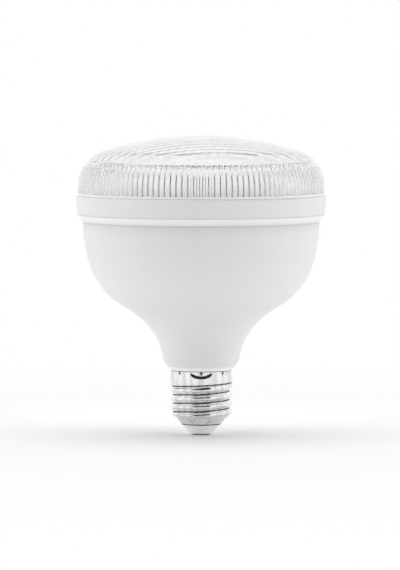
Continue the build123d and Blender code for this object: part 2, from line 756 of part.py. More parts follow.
led_lead_negative = led_lead(-1)
led_lead_negative.part.label = "led_lead_negative"

pieces = (
    tip_contact,
    base_insulator,
    screw_shell,
    housing,
    prismatic_cover,
    heat_spreader,
    led_board,
    led_chips,
    board_screws,
    driver_board,
    bulk_capacitor,
    output_capacitor,
    transformer_core,
    transformer_winding,
    filter_capacitor,
    choke,
    bridge_rectifier,
    driver_chip,
    output_diode,
    varistor,
    fuse_resistor,
    line_lead,
    neutral_lead,
    led_lead_positive,
    led_lead_negative,
)
os.makedirs("parts", exist_ok=True)
for piece in pieces:
    export_step(piece.part, f"parts/{piece.part.label}.step")
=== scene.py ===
from math import asin, atan2, cos, exp, pi, radians, sin, sqrt

import bpy
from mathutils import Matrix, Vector


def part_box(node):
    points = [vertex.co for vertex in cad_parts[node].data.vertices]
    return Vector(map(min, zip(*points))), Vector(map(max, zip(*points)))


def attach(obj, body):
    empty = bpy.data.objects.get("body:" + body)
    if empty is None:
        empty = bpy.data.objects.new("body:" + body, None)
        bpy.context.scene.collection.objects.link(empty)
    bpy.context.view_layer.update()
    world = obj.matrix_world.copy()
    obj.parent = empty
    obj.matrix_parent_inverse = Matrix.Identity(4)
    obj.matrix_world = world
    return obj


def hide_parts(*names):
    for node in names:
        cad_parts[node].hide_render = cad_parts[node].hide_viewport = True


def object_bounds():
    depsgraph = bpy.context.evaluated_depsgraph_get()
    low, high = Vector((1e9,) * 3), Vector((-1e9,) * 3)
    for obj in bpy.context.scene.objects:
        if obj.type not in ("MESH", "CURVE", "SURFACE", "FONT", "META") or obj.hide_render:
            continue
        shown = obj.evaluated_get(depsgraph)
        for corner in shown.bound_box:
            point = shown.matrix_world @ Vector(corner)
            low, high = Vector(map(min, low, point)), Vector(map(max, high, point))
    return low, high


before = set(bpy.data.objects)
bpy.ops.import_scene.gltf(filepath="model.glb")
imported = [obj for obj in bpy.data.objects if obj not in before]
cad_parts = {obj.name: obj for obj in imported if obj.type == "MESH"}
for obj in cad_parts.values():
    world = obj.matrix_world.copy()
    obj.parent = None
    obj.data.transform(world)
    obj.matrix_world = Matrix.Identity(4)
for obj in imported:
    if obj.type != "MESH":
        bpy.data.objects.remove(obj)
cad_low, cad_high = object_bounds()

# Contact nail in the tip of the cap: a turned, tinned brass rivet whose colour is darkened as painted shade.
# Its head shows below the insulator, and its shank is pressed up through it.

MM = 0.001


def put(tree, kind, *feeds, **settings):
    """A shader node whose first inputs take the feeds: a socket is linked and a value is set."""
    made = tree.nodes.new("ShaderNode" + kind)
    for name, value in settings.items():
        if hasattr(made, name):
            setattr(made, name, value)
        else:
            made.inputs[name.replace("_", " ").title()].default_value = value
    for socket, feed in zip(made.inputs, feeds):
        if isinstance(feed, bpy.types.NodeSocket):
            tree.links.new(feed, socket)
        elif feed is not None:
            socket.default_value = feed
    return made


class Finish:
    """The look of a piece: one surface shader with its plain values set, and nodes that vary them."""

    def __init__(self, name, colour, roughness, metallic=0.0):
        self.material = bpy.data.materials.new(name)
        self.material.use_nodes = True
        self.tree = self.material.node_tree
        self.surface = self.tree.nodes["Principled BSDF"]
        self.surface.inputs["Base Color"].default_value = (*colour, 1.0)
        self.surface.inputs["Roughness"].default_value = roughness
        self.surface.inputs["Metallic"].default_value = metallic

    def spot(self, stretch=(1.0, 1.0, 1.0)):
        """The point on the piece in millimetres on the lamp's axes, stretched along each of them."""
        point = put(self.tree, "TexCoord").outputs["Object"]
        scaled = put(self.tree, "Mapping", point)
        scaled.inputs["Scale"].default_value = [share / MM for share in stretch]
        return scaled.outputs["Vector"]

    def cloud(self, per_mm, detail=3.0, stretch=(1.0, 1.0, 1.0)):
        """Soft random patches, so many to the millimetre."""
        return put(self.tree, "TexNoise", self.spot(stretch), scale=per_mm, detail=detail).outputs["Fac"]

    def turned_rings(self, per_mm, wobble):
        """Fine tool rings about the lamp's axis."""
        wave = put(self.tree, "TexWave", self.spot(), wave_type="RINGS", rings_direction="Z", scale=per_mm)
        wave.inputs["Distortion"].default_value = wobble
        return wave.outputs["Fac"]

    def ramp(self, value, *stops):
        """Grey levels or colours along a value, given as pairs of a position and a level or colour."""
        band = put(self.tree, "ValToRGB", value)
        elements = band.color_ramp.elements
        while len(elements) < len(stops):
            elements.new(0.5)
        for element, (position, level) in zip(elements, stops):
            element.position = position
            element.color = (*level, 1.0) if isinstance(level, tuple) else (level, level, level, 1.0)
        return band.outputs["Color"]

    def vary(self, socket, value, *stops):
        """Feeds one of the surface's inputs from a ramp along a value."""
        self.tree.links.new(self.ramp(value, *stops), self.surface.inputs[socket])

    def relief(self, value, depth):
        """Fine relief of that depth, from a value between nought and one."""
        bump = put(self.tree, "Bump", distance=depth)
        self.tree.links.new(value, bump.inputs["Height"])
        self.tree.links.new(bump.outputs["Normal"], self.surface.inputs["Normal"])

    def give(self, *names):
        """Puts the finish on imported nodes."""
        for name in names:
            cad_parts[name].data.materials[0] = self.material


# The metal's colour is darkened to paint in the shade on the contact's underside.
tinned_brass_painted_dark = Finish("tinned_brass_painted_dark", (0.28, 0.27, 0.26), 0.32, 1.0)
tinned_brass_painted_dark.vary("Base Color", tinned_brass_painted_dark.cloud(1.4), (0.3, (0.23, 0.22, 0.20)), (0.7, (0.33, 0.32, 0.31)))
tinned_brass_painted_dark.vary("Roughness", tinned_brass_painted_dark.cloud(3.0), (0.3, 0.26), (0.7, 0.4))
tinned_brass_painted_dark.relief(tinned_brass_painted_dark.turned_rings(1.2, 0.6), 0.02 * MM)
tinned_brass_painted_dark.give("tip_contact")

# Insulator: a pale moulded cone that keeps the contact apart from the screw shell.
# Its plug sits inside the shell's turned-in lip, and the nail clamps it there.

cone_plastic = Finish("cone_plastic", (0.94, 0.94, 0.93), 0.34)
cone_plastic.vary("Base Color", cone_plastic.cloud(0.5), (0.3, (0.91, 0.91, 0.90)), (0.7, (0.96, 0.96, 0.95)))
cone_plastic.relief(cone_plastic.cloud(4.0), 0.01 * MM)
cone_plastic.give("base_insulator")

# Screw shell: thin bright-nickelled sheet, rolled to a round right-hand thread. The lower edge is turned
# in to a cone round the insulator, and eight wide dents at the top of the plain band hold it on the neck.
# The plate has faint upright streaks. A dark nickel is laid as painted shade in the grooves, in the dents'
# nicks and along both edges.

shell_low, shell_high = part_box("screw_shell")
SHELL_SHEET = 0.4 * MM
THREAD_PITCH = 3.63 * MM
THREAD_DEPTH = 1.1 * MM
THREAD_LEVEL = 9.8 * MM
BAND_HEIGHT = 6.1 * MM
RUN_OUT = 1.5 * MM
SCORE_SHARE = 0.08
SCORE_RISE = 1.0 * MM
SCORE_END = 1.2 * MM
LIP_RADIUS = 8.2 * MM
LIP_SLOPE = 3.9 / 4.3
LIP_ROUND = 0.25 * MM
LIP_FLARE = 0.6 / MM
FLARE_START = 2.9 * MM
DENT_COUNT = 8
DENT_DROP = 0.3 * MM
DENT_DEPTH = 0.3 * MM
DENT_HALF_WIDTH = 4.8 * MM
DENT_HALF_HEIGHT = 2.5 * MM
DENT_RIM = 4
DENT_REACH = 9.0
NICK_DROP = 0.9 * MM
NICK_HALF_WIDTH = 0.55 * MM
NICK_HALF_HEIGHT = 0.8 * MM
PAINTED_SHADE_GROOVE = 0.05
PAINTED_SHADE_EDGE = 0.45 * MM
PAINTED_SHADE_SEAM = 0.25 * MM
SHELL_SIDES = 240
SHELL_ROWS = 150

band_foot = shell_high.z - BAND_HEIGHT


def smooth_step(low, high, value):
    """Nought up to the low value and one past the high one, with a smooth rise between them."""
    share = min(1.0, max(0.0, (value - low) / (high - low)))
    return share * share * (3 - 2 * share)


def thread_share(height, turn):
    """Nought in the groove and one on the crest of a knuckle thread made of two equal tangent arcs."""
    along = ((height - THREAD_LEVEL) / THREAD_PITCH - turn) % 1.0
    off_crest = abs(along - round(along)) * THREAD_PITCH
    half_angle = 2 * atan2(THREAD_DEPTH, THREAD_PITCH / 2)
    arc = THREAD_PITCH / 4 / sin(half_angle)
    if off_crest < THREAD_PITCH / 4:
        return 1 - (arc - sqrt(arc**2 - off_crest**2)) / THREAD_DEPTH
    off_groove = THREAD_PITCH / 2 - off_crest
    return (arc - sqrt(arc**2 - off_groove**2)) / THREAD_DEPTH


def shell_radius_at(height, angle):
    """Outside of the shell: thread, plain band with its scored line and dents, and the lip's cone below."""
    groove = 1 - (1 - SCORE_SHARE) * smooth_step(band_foot - RUN_OUT, band_foot, height)
    groove -= SCORE_SHARE * smooth_step(band_foot + SCORE_RISE, band_foot + SCORE_END, height)
    radius = shell_high.x - THREAD_DEPTH * groove * (1 - thread_share(height, angle / (2 * pi)))
    for dent in range(DENT_COUNT):
        across = (angle - 2 * pi * dent / DENT_COUNT + pi / 2 + pi) % (2 * pi) - pi
        off_x = across * shell_high.x / DENT_HALF_WIDTH
        off_z = (height - shell_high.z + DENT_DROP) / DENT_HALF_HEIGHT
        radius -= DENT_DEPTH * exp(-min(DENT_REACH, off_x**2 + off_z**2) ** DENT_RIM)
    rise = height - shell_low.z
    cone = LIP_RADIUS + rise * LIP_SLOPE + LIP_FLARE * max(0.0, rise - FLARE_START) ** 2
    apart = max(0.0, LIP_ROUND - abs(radius - cone))
    return min(radius, cone) - apart * apart / (4 * LIP_ROUND)


def is_painted_shade(point):
    """Whether the plate gets dark painted shade there: along the groove, in a dent's nick or at either edge.
    """
    angle = atan2(point.y, point.x)
    if point.z < shell_low.z + PAINTED_SHADE_EDGE or point.z > shell_high.z - PAINTED_SHADE_SEAM:
        return True
    if point.z < band_foot + SCORE_RISE:
        on_lip = point.z < shell_low.z + (shell_high.x - THREAD_DEPTH - LIP_RADIUS) / LIP_SLOPE
        return not on_lip and thread_share(point.z, angle / (2 * pi)) < PAINTED_SHADE_GROOVE
    across = ((angle + pi / 2) * DENT_COUNT / (2 * pi) + 0.5) % 1.0 - 0.5
    off_x = across * 2 * pi / DENT_COUNT * shell_high.x / NICK_HALF_WIDTH
    off_z = (point.z - shell_high.z + NICK_DROP) / NICK_HALF_HEIGHT
    return off_x**2 + off_z**2 < 1


def grid_mesh(name, rings):
    """An open tube over rings with equal numbers of points."""
    width = len(rings[0])
    points = [point for ring in rings for point in ring]
    faces = []
    for row in range(len(rings) - 1):
        for column in range(width):
            after = (column + 1) % width
            foot = row * width
            faces.append((foot + column, foot + after, foot + width + after, foot + width + column))
    mesh = bpy.data.meshes.new(name)
    mesh.from_pydata(points, [], faces)
    mesh.shade_smooth()
    return mesh


def new_piece(name, mesh, finish, node):
    """Puts a mesh into the lamp as part of its one body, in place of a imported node."""
    piece = bpy.data.objects.new(name, mesh)
    bpy.context.scene.collection.objects.link(piece)
    mesh.materials.append(finish.material)
    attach(piece, "root")
    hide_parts(node)
    return piece


shell_rings = []
for row in range(SHELL_ROWS + 1):
    level = shell_low.z + (shell_high.z - shell_low.z) * row / SHELL_ROWS
    ring = []
    for side in range(SHELL_SIDES):
        angle = 2 * pi * side / SHELL_SIDES
        radius = shell_radius_at(level, angle)
        ring.append((radius * cos(angle), radius * sin(angle), level))
    shell_rings.append(ring)
shell_mesh = grid_mesh("rolled_screw_shell", shell_rings)

bright_nickel = Finish("bright_nickel", (0.86, 0.86, 0.855), 0.08, 1.0)
bright_nickel.vary("Roughness", bright_nickel.cloud(0.5), (0.35, 0.05), (0.75, 0.14))
bright_nickel.vary(
    "Base Color",
    bright_nickel.cloud(0.4, stretch=(1.0, 1.0, 0.12)),
    (0.38, (0.70, 0.70, 0.69)),
    (0.55, (0.89, 0.89, 0.88)),
    (0.7, (0.92, 0.92, 0.92)),
)
bright_nickel.relief(bright_nickel.cloud(2.5, stretch=(0.2, 0.2, 2.0)), 0.004 * MM)
# Painted shade: a dark nickel for the grooves, the nicks and both edges, where shade falls.
shade_painted_nickel = Finish("shade_painted_nickel", (0.13, 0.13, 0.13), 0.45, 1.0)
shade_painted_nickel.vary("Base Color", shade_painted_nickel.cloud(0.7), (0.3, (0.09, 0.09, 0.09)), (0.7, (0.18, 0.18, 0.18)))
shade_painted_nickel.relief(shade_painted_nickel.cloud(5.0), 0.01 * MM)

screw_shell = new_piece("rolled_screw_shell", shell_mesh, bright_nickel, "screw_shell")
shell_mesh.materials.append(shade_painted_nickel.material)
for face in shell_mesh.polygons:
    face.material_index = int(is_painted_shade(face.center))
sheet = screw_shell.modifiers.new("sheet", "SOLIDIFY")
sheet.thickness = SHELL_SHEET
sheet.offset = -1.0

# Housing: bowl, neck and collar moulded as one in matt white plastic with a fine spark grain. A painted
# highlight lies on the bevel and the foot of the neck, and painted shade in the corners beside the bevel. The
# screw shell is dented onto its spigot, and the cover snaps into its collar.

BEVEL_FOOT = 86.0 * MM
BEVEL_HEAD = 95.4 * MM
SEAT_LEVEL = 27.7 * MM
LIP_HIGHLIGHT_HEIGHT = 1.8 * MM
PAINTED_HIGHLIGHT_COLOUR = (0.95, 0.95, 0.945, 1.0)
PAINTED_CREASE_SHADE = (0.45, 0.45, 0.445, 1.0)
SPECK_CELL = 13.0 * MM
SPECK_REACH = (0.05, -0.022)
SPECK_SHADE = (0.35, 0.34, 0.33, 1.0)


def reckon(tree, kind, *feeds):
    """One step of arithmetic on a shader's values."""
    return put(tree, "Math", *feeds, operation=kind).outputs["Value"]


def level_between(tree, value, low, high, at_low=0.0, at_high=1.0, curve="LINEAR"):
    """A level that runs along a value from one end to the other, and is held past both."""
    made = put(tree, "MapRange", value, low, high, at_low, at_high, interpolation_type=curve)
    return made.outputs["Result"]


def blend(tree, share, first, second):
    """A mix of two colours, all the first at nought and all the second at one."""
    return put(tree, "MixRGB", share, first, second).outputs["Color"]


white_moulding = Finish("white_moulding", (0.80, 0.80, 0.795), 0.5)
moulding = white_moulding.tree
specks = put(moulding, "TexVoronoi", white_moulding.spot(), scale=MM / SPECK_CELL).outputs
speck_size = reckon(moulding, "MULTIPLY_ADD", specks["Color"], *SPECK_REACH)
in_speck = reckon(moulding, "LESS_THAN", specks["Distance"], speck_size)
mottle = white_moulding.ramp(
    white_moulding.cloud(1.1, 4.0), (0.25, (0.775, 0.775, 0.77)), (0.75, (0.815, 0.815, 0.81))
)
speckled = blend(moulding, in_speck, mottle, SPECK_SHADE)
up_housing = put(moulding, "SeparateXYZ", white_moulding.spot()).outputs["Z"]
up_bevel = level_between(moulding, up_housing, BEVEL_FOOT / MM, BEVEL_HEAD / MM)
up_lip = level_between(moulding, up_housing, SEAT_LEVEL / MM, (SEAT_LEVEL + LIP_HIGHLIGHT_HEIGHT) / MM)
# Painted highlight on the bevel and the neck's foot, and painted shade in the corners beside the bevel and
# just below it, all laid into the colour by height.
bevel_painted_highlight = white_moulding.ramp(up_bevel, (0.57, 0.0), (0.64, 0.3), (0.75, 0.65), (0.80, 0.5), (0.83, 0.0))
lip_painted_highlight = white_moulding.ramp(up_lip, (0.0, 1.0), (0.7, 1.0), (1.0, 0.0))
crease_painted_shade = white_moulding.ramp(
    up_bevel,
    (0.07, 0.0),
    (0.25, 0.08),
    (0.43, 0.2),
    (0.50, 0.6),
    (0.57, 0.0),
    (0.81, 0.0),
    (0.86, 0.5),
    (0.91, 0.0),
)
painted_highlight_share = reckon(moulding, "MAXIMUM", bevel_painted_highlight, lip_painted_highlight)
with_painted_highlight = blend(moulding, painted_highlight_share, speckled, PAINTED_HIGHLIGHT_COLOUR)
with_painted_shade = blend(moulding, crease_painted_shade, with_painted_highlight, PAINTED_CREASE_SHADE)
moulding.links.new(with_painted_shade, white_moulding.surface.inputs["Base Color"])
white_moulding.relief(white_moulding.cloud(2.2, 4.0), 0.04 * MM)
white_moulding.give("housing")

# Driver board: brown resin-paper laminate, sawn to a blade with a tongue.
# It slides down the housing's slots and stands upright on the lamp's axis.

laminate = Finish("laminate", (0.45, 0.31, 0.16), 0.55)
paper_grain = laminate.cloud(0.8, stretch=(1.0, 1.0, 0.15))
laminate.vary("Base Color", paper_grain, (0.3, (0.40, 0.27, 0.13)), (0.7, (0.50, 0.36, 0.20)))
laminate.relief(laminate.cloud(2.0, stretch=(1.0, 1.0, 0.2)), 0.02 * MM)
laminate.give("driver_board")

# Capacitors: aluminium cans in shrunk sleeves, and a film box moulded in yellow resin.
# They stand on the front of the driver board, and the cans' bare ends face away from it.

BARE_END = 0.6 * MM
SLEEVE_BLACK = (0.03, 0.035, 0.05)


def past_level(finish, axis, edge, soft=0.05 * MM):
    """Nought before a level on one of the lamp's axes and one past it."""
    place = put(finish.tree, "SeparateXYZ", finish.spot()).outputs[axis]
    return level_between(finish.tree, place, (edge - soft) / MM, (edge + soft) / MM)


for can in ("bulk_capacitor", "output_capacitor"):
    sleeve = Finish(can + "_sleeve", SLEEVE_BLACK, 0.3)
    on_sleeve = past_level(sleeve, "Y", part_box(can)[0].y + BARE_END)
    sleeve.vary("Base Color", on_sleeve, (0.0, (0.72, 0.72, 0.72)), (1.0, SLEEVE_BLACK))
    sleeve.vary("Metallic", on_sleeve, (0.0, 1.0), (1.0, 0.0))
    sleeve.vary("Roughness", sleeve.cloud(0.8), (0.3, 0.24), (0.7, 0.38))
    sleeve.relief(sleeve.cloud(0.6, stretch=(1.0, 0.3, 1.0)), 0.05 * MM)
    sleeve.give(can)

film_box = Finish("film_box", (0.70, 0.45, 0.06), 0.45)
film_box.vary("Base Color", film_box.cloud(0.6), (0.3, (0.66, 0.42, 0.05)), (0.7, (0.75, 0.50, 0.09)))
film_box.relief(film_box.cloud(3.0), 0.02 * MM)
film_box.give("filter_capacitor")

# Transformer: a sintered ferrite frame with a coil round its middle limb, wrapped in tape.
# It stands on the front of the driver board.

TAPE_TURNS_PER_MM = 0.09

ferrite = Finish("ferrite", (0.045, 0.045, 0.048), 0.62)
ferrite.vary("Base Color", ferrite.cloud(1.5), (0.3, (0.035, 0.035, 0.038)), (0.7, (0.065, 0.065, 0.068)))
ferrite.relief(ferrite.cloud(5.0), 0.03 * MM)
ferrite.give("transformer_core")

coil_tape = Finish("coil_tape", (0.80, 0.62, 0.10), 0.35)
tape_wave = put(coil_tape.tree, "TexWave", coil_tape.spot(), bands_direction="Y", scale=TAPE_TURNS_PER_MM)
tape_wave.wave_profile = "SAW"
tape_laps = tape_wave.outputs["Fac"]
coil_tape.vary(
    "Base Color",
    tape_laps,
    (0.0, (0.68, 0.50, 0.07)),
    (0.12, (0.82, 0.65, 0.13)),
    (1.0, (0.78, 0.60, 0.10)),
)
coil_tape.relief(tape_laps, 0.06 * MM)
coil_tape.give("transformer_winding")

# Choke: enamelled copper wire wound close on a ferrite drum, whose flanges show at both ends.
# It stands on the back of the driver board.

WIRE_TURNS_PER_MM = 0.6
DRUM_FLANGE = 1.3 * MM
DRUM_SHADE = (0.05, 0.05, 0.053, 1.0)

choke_low, choke_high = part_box("choke")
wound_wire = Finish("wound_wire", (0.45, 0.16, 0.05), 0.3, 0.7)
winding = wound_wire.tree
wire_wave = put(winding, "TexWave", wound_wire.spot(), bands_direction="Y", scale=WIRE_TURNS_PER_MM)
turns = wire_wave.outputs["Fac"]
# The copper is painted darker in the valleys between turns, as painted shade.
copper = wound_wire.ramp(turns, (0.0, (0.20, 0.06, 0.02)), (0.6, (0.52, 0.20, 0.07)))
past_first = past_level(wound_wire, "Y", choke_low.y + DRUM_FLANGE)
past_second = past_level(wound_wire, "Y", choke_high.y - DRUM_FLANGE)
on_wire = reckon(winding, "SUBTRACT", past_first, past_second)
winding.links.new(blend(winding, on_wire, DRUM_SHADE, copper), wound_wire.surface.inputs["Base Color"])
wound_wire.vary("Metallic", on_wire, (0.0, 0.0), (1.0, 0.7))
wound_wire.relief(turns, 0.15 * MM)
wound_wire.give("choke")

# Rectifier, controller and diode: black moulded packages with tinned legs.
# They are soldered flat on the back of the driver board.

LEG_RISE = 0.28 * MM
LEG_EDGE = 0.02 * MM
PACKAGE_BLACK = (0.025, 0.025, 0.027)

board_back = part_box("driver_board")[1].y
black_package = Finish("black_package", PACKAGE_BLACK, 0.55)
above_legs = past_level(black_package, "Y", board_back + LEG_RISE, LEG_EDGE)
black_package.vary("Base Color", above_legs, (0.0, (0.66, 0.66, 0.64)), (1.0, PACKAGE_BLACK))
black_package.vary("Metallic", above_legs, (0.0, 1.0), (1.0, 0.0))
black_package.vary("Roughness", black_package.cloud(2.0), (0.3, 0.45), (0.7, 0.62))
black_package.relief(black_package.cloud(9.0), 0.01 * MM)
black_package.give("bridge_rectifier", "driver_chip", "output_diode")

# Varistor and fusible resistor: a disc dipped in blue resin and a ceramic rod under grey paint.
# They guard the mains side and stand on the driver board's tongue.

LEG_LENGTH = 2.55 * MM
ROD_PAINT = (0.36, 0.40, 0.38)

dipped_disc = Finish("dipped_disc", (0.05, 0.13, 0.42), 0.3)
dipped_disc.vary("Base Color", dipped_disc.cloud(0.5), (0.3, (0.04, 0.11, 0.38)), (0.7, (0.06, 0.16, 0.47)))
dipped_disc.relief(dipped_disc.cloud(0.7), 0.12 * MM)
dipped_disc.give("varistor")

fuse_low, fuse_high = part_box("fuse_resistor")
painted_rod = Finish("painted_rod", ROD_PAINT, 0.5)
past_foot = past_level(painted_rod, "Z", fuse_low.z + LEG_LENGTH)
past_head = past_level(painted_rod, "Z", fuse_high.z - LEG_LENGTH)
on_rod = reckon(painted_rod.tree, "SUBTRACT", past_foot, past_head)
painted_rod.vary("Base Color", on_rod, (0.0, (0.68, 0.68, 0.66)), (1.0, ROD_PAINT))
painted_rod.vary("Metallic", on_rod, (0.0, 1.0), (1.0, 0.0))
painted_rod.relief(painted_rod.cloud(1.6), 0.05 * MM)
painted_rod.give("fuse_resistor")

# Leads: stranded wire in soft plastic. Two join the driver board to the contact nail and the
# screw shell, and two white ones rise through the spreader to the pads of the light board.

LEAD_COLOURS = {
    "line_lead": (0.20, 0.08, 0.04),
    "neutral_lead": (0.04, 0.09, 0.40),
    "led_lead_positive": (0.80, 0.79, 0.77),
    "led_lead_negative": (0.74, 0.74, 0.74),
}
WORN_SHARE = 0.88

for lead, colour in LEAD_COLOURS.items():
    soft_cover = Finish(lead + "_cover", colour, 0.42)
    worn = tuple(WORN_SHARE * part for part in colour)
    soft_cover.vary("Base Color", soft_cover.cloud(1.2), (0.3, worn), (0.7, colour))
    soft_cover.relief(soft_cover.cloud(2.0), 0.03 * MM)
    soft_cover.give(lead)

# Heat spreader: a spun aluminium plate with a deep rim, laid on the housing's ledge.
# It takes the heat of the light board into the housing's wall.

spun_metal = Finish("spun_metal", (0.78, 0.78, 0.79), 0.34, 1.0)
spun_rings = spun_metal.turned_rings(0.5, 1.5)
spun_metal.vary("Roughness", spun_rings, (0.0, 0.28), (1.0, 0.42))
spun_metal.vary("Base Color", spun_metal.cloud(0.15), (0.3, (0.74, 0.74, 0.75)), (0.7, (0.82, 0.82, 0.83)))
spun_metal.relief(spun_rings, 0.015 * MM)
spun_metal.give("heat_spreader")

# Light board: an aluminium board under white lacquer, screwed down on the spreader.
# Broad copper bands below the lacquer join the emitters in rings and show as faint steps.

COPPER_PITCH = 12.5 * MM
COPPER_EDGE = (0.62, 0.72)

light_board = Finish("light_board", (0.88, 0.88, 0.87), 0.5)
board = light_board.tree
from_axis = put(board, "VectorMath", light_board.spot((1.0, 1.0, 0.0)), operation="LENGTH").outputs["Value"]
ring_phase = reckon(board, "MULTIPLY", from_axis, 2 * pi * MM / COPPER_PITCH)
copper_step = level_between(board, reckon(board, "SINE", ring_phase), *COPPER_EDGE)
light_board.vary("Base Color", copper_step, (0.0, (0.89, 0.89, 0.88)), (1.0, (0.85, 0.85, 0.83)))
light_board.vary("Roughness", light_board.cloud(0.5), (0.3, 0.34), (0.7, 0.46))
light_board.relief(copper_step, 0.05 * MM)
light_board.give("led_board")

# Light emitters: small cream packages, each with a sunk window of yellow phosphor resin.
# They are soldered in rings on the light board.

chips_low, chips_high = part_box("led_chips")
CHIP_RINGS = ((38.95 * MM, 24), (26.45 * MM, 16), (13.95 * MM, 8))
CHIP_WIDTH = 2.8 * MM
CHIP_LENGTH = 3.5 * MM
CHIP_EDGE = 0.12 * MM
CHIP_SHARP = radians(30.0)
WINDOW_WALL = 0.42 * MM
WINDOW_DEPTH = 0.2 * MM
WINDOW_FLARE = 0.15 * MM


def skin_faces(rings):
    """Points and faces of a closed skin over rings of points, with both ends capped. A ring may
    have a whole number of times as many points as the ring next to it."""
    points = []
    starts = []
    for ring in rings:
        starts.append(len(points))
        points.extend(ring)
    faces = [list(range(len(rings[0])))]
    for above in range(len(rings) - 1):
        below = above + 1
        count = min(len(rings[above]), len(rings[below]))
        upper = len(rings[above]) // count
        lower = len(rings[below]) // count
        for part in range(count):
            foot = [starts[below] + (part * lower + k) % len(rings[below]) for k in range(lower + 1)]
            head = [starts[above] + (part * upper + k) % len(rings[above]) for k in range(upper + 1)]
            faces.append(foot + head[::-1])
    faces.append([starts[-1] + k for k in reversed(range(len(rings[-1])))])
    return points, faces


def skin_mesh(name, stacks, sharp_angle):
    """One mesh from several closed skins, smooth but for edges past the sharp angle."""
    points = []
    faces = []
    for rings in stacks:
        some_points, some_faces = skin_faces(rings)
        faces.extend([len(points) + corner for corner in face] for face in some_faces)
        points.extend(some_points)
    mesh = bpy.data.meshes.new(name)
    mesh.from_pydata(points, [], faces)
    mesh.shade_smooth()
    mesh.set_sharp_from_angle(angle=sharp_angle)
    return mesh


def chip_rings(radius, angle):
    """An emitter's outline at each level, from the window's floor out over the rim and down to the board."""
    top = chips_high.z
    rings = []
    for inset, level in (
        (WINDOW_WALL + WINDOW_FLARE, top - WINDOW_DEPTH),
        (WINDOW_WALL, top),
        (CHIP_EDGE, top),
        (0.0, top - CHIP_EDGE),
        (0.0, chips_low.z),
    ):
        half_x = CHIP_WIDTH / 2 - inset
        half_y = CHIP_LENGTH / 2 - inset
        ring = []
        for x, y in ((-half_x, -half_y), (half_x, -half_y), (half_x, half_y), (-half_x, half_y)):
            out = radius + x
            ring.append((out * cos(angle) - y * sin(angle), out * sin(angle) + y * cos(angle), level))
        rings.append(ring)
    return rings


chip_stacks = []
for ring_radius, count in CHIP_RINGS:
    chip_stacks.extend(chip_rings(ring_radius, 2 * pi * chip / count) for chip in range(count))
chip_mesh = skin_mesh("light_emitters", chip_stacks, CHIP_SHARP)

cream_package = Finish("cream_package", (0.82, 0.80, 0.74), 0.42)
cream_mottle = cream_package.cloud(1.5)
cream_package.vary("Base Color", cream_mottle, (0.3, (0.79, 0.77, 0.70)), (0.7, (0.84, 0.82, 0.77)))
cream_package.relief(cream_package.cloud(6.0), 0.01 * MM)
phosphor = Finish("phosphor", (0.87, 0.80, 0.48), 0.3)
phosphor.vary("Base Color", phosphor.cloud(2.5), (0.3, (0.84, 0.76, 0.42)), (0.7, (0.88, 0.82, 0.54)))
phosphor.relief(phosphor.cloud(5.0), 0.02 * MM)

new_piece("light_emitters", chip_mesh, cream_package, "led_chips")
chip_mesh.materials.append(phosphor.material)
faces_each = len(chip_mesh.polygons) // len(chip_stacks)
for window in range(len(chip_stacks)):
    chip_mesh.polygons[window * faces_each].material_index = 1

# Board screws: three zinc-plated pan heads with a cross recess.
# They clamp the light board and the spreader together.

zinc_steel = Finish("zinc_steel", (0.68, 0.69, 0.70), 0.3, 1.0)
zinc_steel.vary("Base Color", zinc_steel.cloud(1.2), (0.3, (0.62, 0.63, 0.64)), (0.7, (0.74, 0.75, 0.76)))
zinc_steel.vary("Roughness", zinc_steel.cloud(3.0), (0.3, 0.22), (0.7, 0.38))
zinc_steel.relief(zinc_steel.cloud(6.0), 0.01 * MM)
zinc_steel.give("board_screws")

# Cover: one clear moulding that snaps into the collar, a shallow dome on a round shoulder. Inside,
# upright round ribs run up the satin wall and stop at a row of clear blunt ends, and two sets of fine
# straight ridges cross on the clear shoulder and dome above them. The skirt below is left matt.

cover_low, cover_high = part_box("prismatic_cover")
COVER_WALL = 2.0 * MM
RIM_LEVEL = 102.1 * MM
SKIRT_RADIUS = 50.75 * MM
SKIRT_WALL = 1.9 * MM
SNAP_LEVEL = 100.1 * MM
SNAP_BEAD = 0.4 * MM
DOME_RADIUS = 138.5 * MM
SHOULDER_RADIUS = 15.5 * MM
RIB_COUNT = 128
RIB_DEPTH = 0.8 * MM
RIB_FADE = 0.75
FADE_START = 0.5
RIB_FLOOR = 0.2 * MM
RIB_BASE = 1.0 * MM
RIB_END_ANGLE = radians(42.0)
TOOTH_LENGTH = 1.2 * MM
TOOTH_RISE = 0.65 * MM
TOOTH_BREADTH = 1.6
TOOTH_LEAN = 0.3 * MM
FOOT_ROUND = 0.35 * MM
ROUND_MIDDLE = 0.3
RIDGE_HEADINGS = (radians(9.2), radians(77.7))
RIDGE_PITCHES = (4.2 * MM, 3.6 * MM)
RIDGE_DEPTH = 0.11 * MM
RIB_SIDES = 12
RIB_ROWS = 9
SHOULDER_ROWS = 18
DOME_ROWS = 80
RIDGE_RISE_ROWS = 3
COVER_SIDES = RIB_COUNT * RIB_SIDES
DOME_SIDES = COVER_SIDES // 4
OUTSIDE_SIDES = 256
OUTSIDE_DOME_ROWS = 12
OUTSIDE_SHOULDER_ROWS = 14
FIRST_DOME_ROW = 0.3
BEAD_ROWS = 4
COVER_SHARP = radians(28.0)
COVER_TINT = (0.996, 1.0, 1.0)
COVER_IOR = 1.5
LAMP_LIGHT_IN = (0.97, 0.975, 0.975, 1.0)
HAIR = 0.01 * MM

